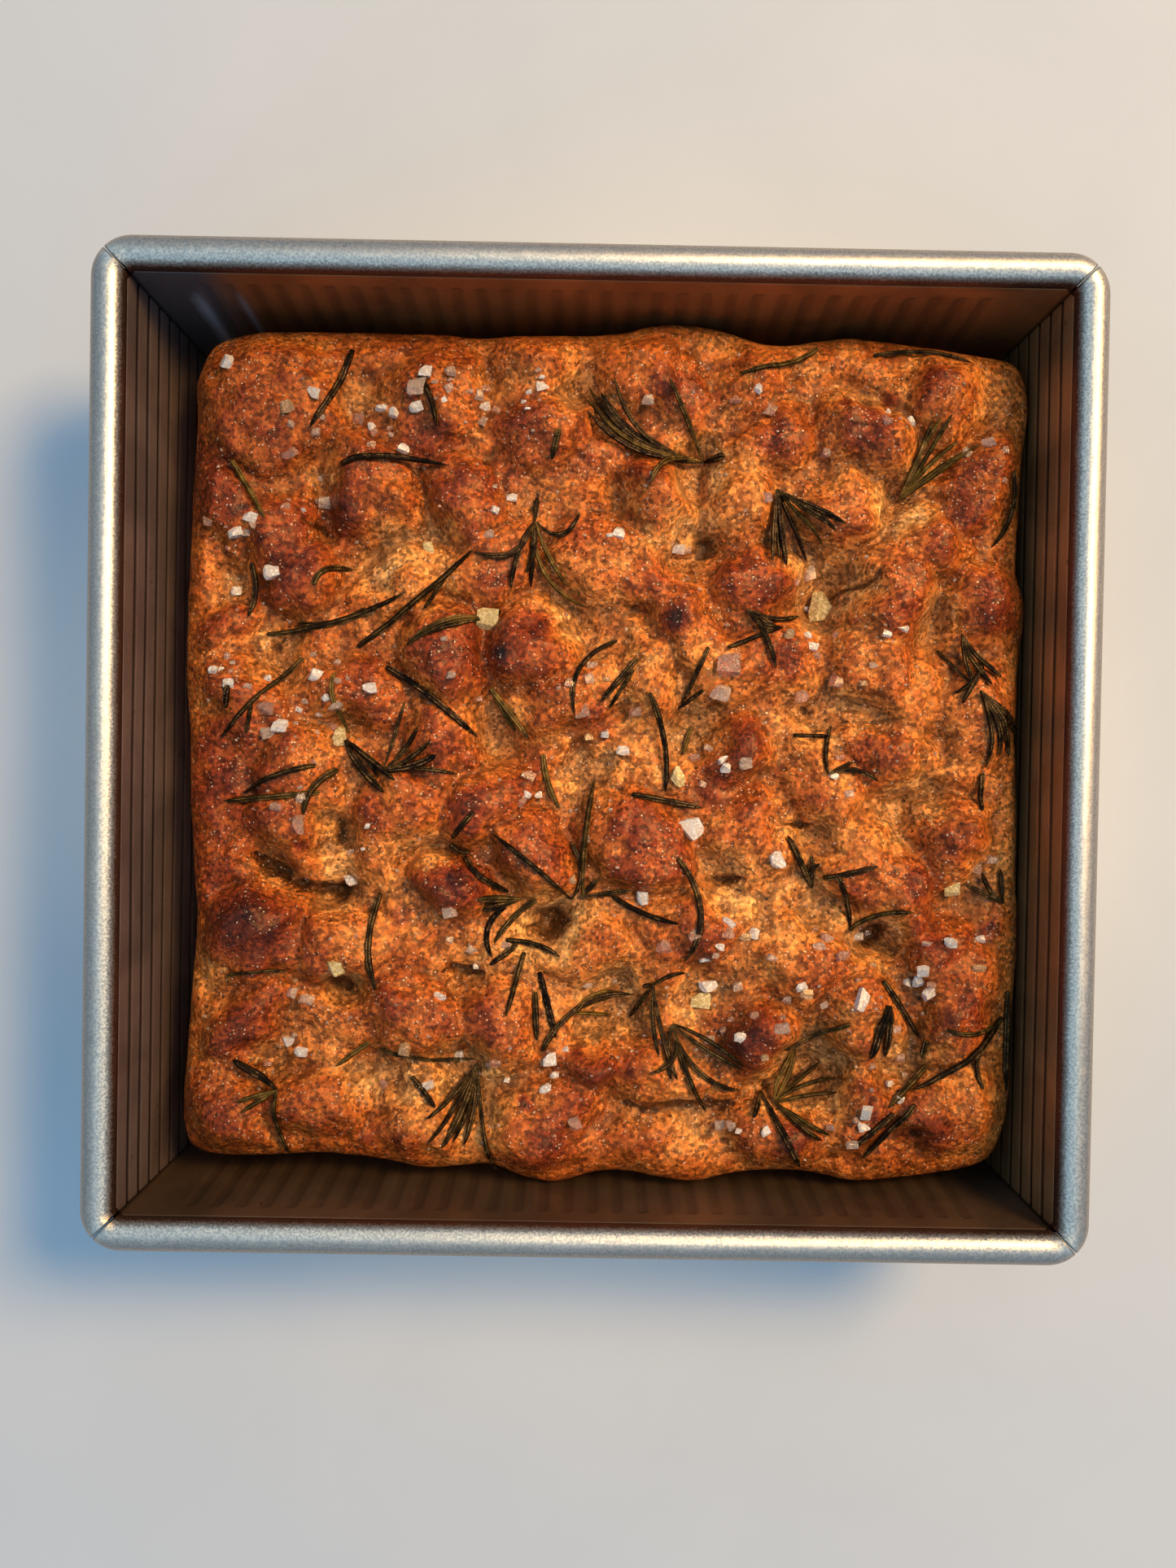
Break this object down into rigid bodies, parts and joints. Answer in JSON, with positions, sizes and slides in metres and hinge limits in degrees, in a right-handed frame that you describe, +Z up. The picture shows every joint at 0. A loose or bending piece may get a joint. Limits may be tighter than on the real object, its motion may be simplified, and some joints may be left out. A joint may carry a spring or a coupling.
{
  "type": "focaccia in its baking tin",
  "caption": "Thick square focaccia with a dimpled golden crust, rosemary needles and coarse salt, lying in the square fluted metal tin it was baked in.",
  "frame": {"origin": "middle of the tin's flat underside", "axes": "+Z up out of the tin, +X to the right and +Y away as the tin is seen from above with the bread's widest bay of crust at the far side, both along the tin's sides"},
  "size_m": [0.249, 0.249, 0.057],
  "materials": {
    "tin": "used tinned steel sheet, satin, browned with baked-on oil inside",
    "crust": "golden brown bread crust brushed with oil, dark on the blisters and pale in the hollows",
    "rosemary": "roasted rosemary needles, near black, some still olive, with an oily sheen",
    "salt": "coarse sea salt, translucent grey to cream"
  },
  "bodies": {
    "root": {"tin": "tin", "focaccia": "crust", "rosemary_sprig_01": "rosemary", "rosemary_sprig_02": "rosemary", "rosemary_sprig_03": "rosemary", "rosemary_sprig_04": "rosemary", "rosemary_sprig_05": "rosemary", "rosemary_sprig_06": "rosemary", "rosemary_sprig_07": "rosemary", "rosemary_sprig_08": "rosemary", "rosemary_sprig_09": "rosemary", "rosemary_sprig_10": "rosemary", "rosemary_sprig_11": "rosemary", "rosemary_sprig_12": "rosemary", "rosemary_sprig_13": "rosemary", "rosemary_sprig_14": "rosemary", "rosemary_sprig_15": "rosemary", "rosemary_sprig_16": "rosemary", "rosemary_sprig_17": "rosemary", "rosemary_sprig_18": "rosemary", "rosemary_sprig_19": "rosemary", "rosemary_sprig_20": "rosemary", "rosemary_sprig_21": "rosemary", "rosemary_sprig_22": "rosemary", "rosemary_sprig_23": "rosemary"}
  },
  "joints": []
}
